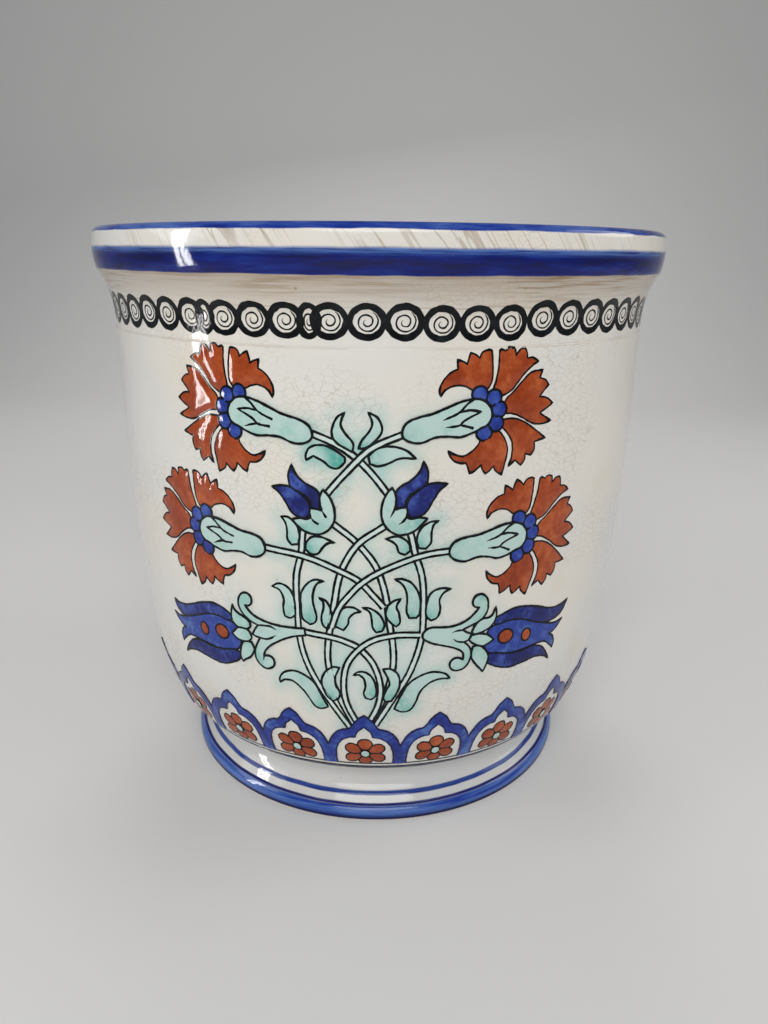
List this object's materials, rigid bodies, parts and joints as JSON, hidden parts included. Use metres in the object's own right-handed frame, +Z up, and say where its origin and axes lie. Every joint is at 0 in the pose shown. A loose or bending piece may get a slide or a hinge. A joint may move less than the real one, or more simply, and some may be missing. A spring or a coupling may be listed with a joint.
{
  "type": "cachepot on stand",
  "caption": "Round glazed earthenware cachepot with a banded rim and raised floral enamel, standing on a low moulded ring-footed stand from which it lifts.",
  "frame": {"origin": "centre of the stand's underside, on the table", "axes": "+Z up along the pot's axis of turning, -Y towards the front of the painted spray, +X to its right"},
  "size_m": [0.28, 0.2798, 0.2765],
  "materials": {
    "pot_glaze": "gloss",
    "stand_glaze": "gloss"
  },
  "bodies": {
    "stand": {"stand": "stand_glaze"},
    "cachepot": {"cachepot": "pot_glaze"}
  },
  "joints": [
    {"name": "pot_lift", "type": "slide", "parent": "stand", "child": "cachepot", "axis": [0, 0, 1], "range_m": [0, 0.1]}
  ]
}
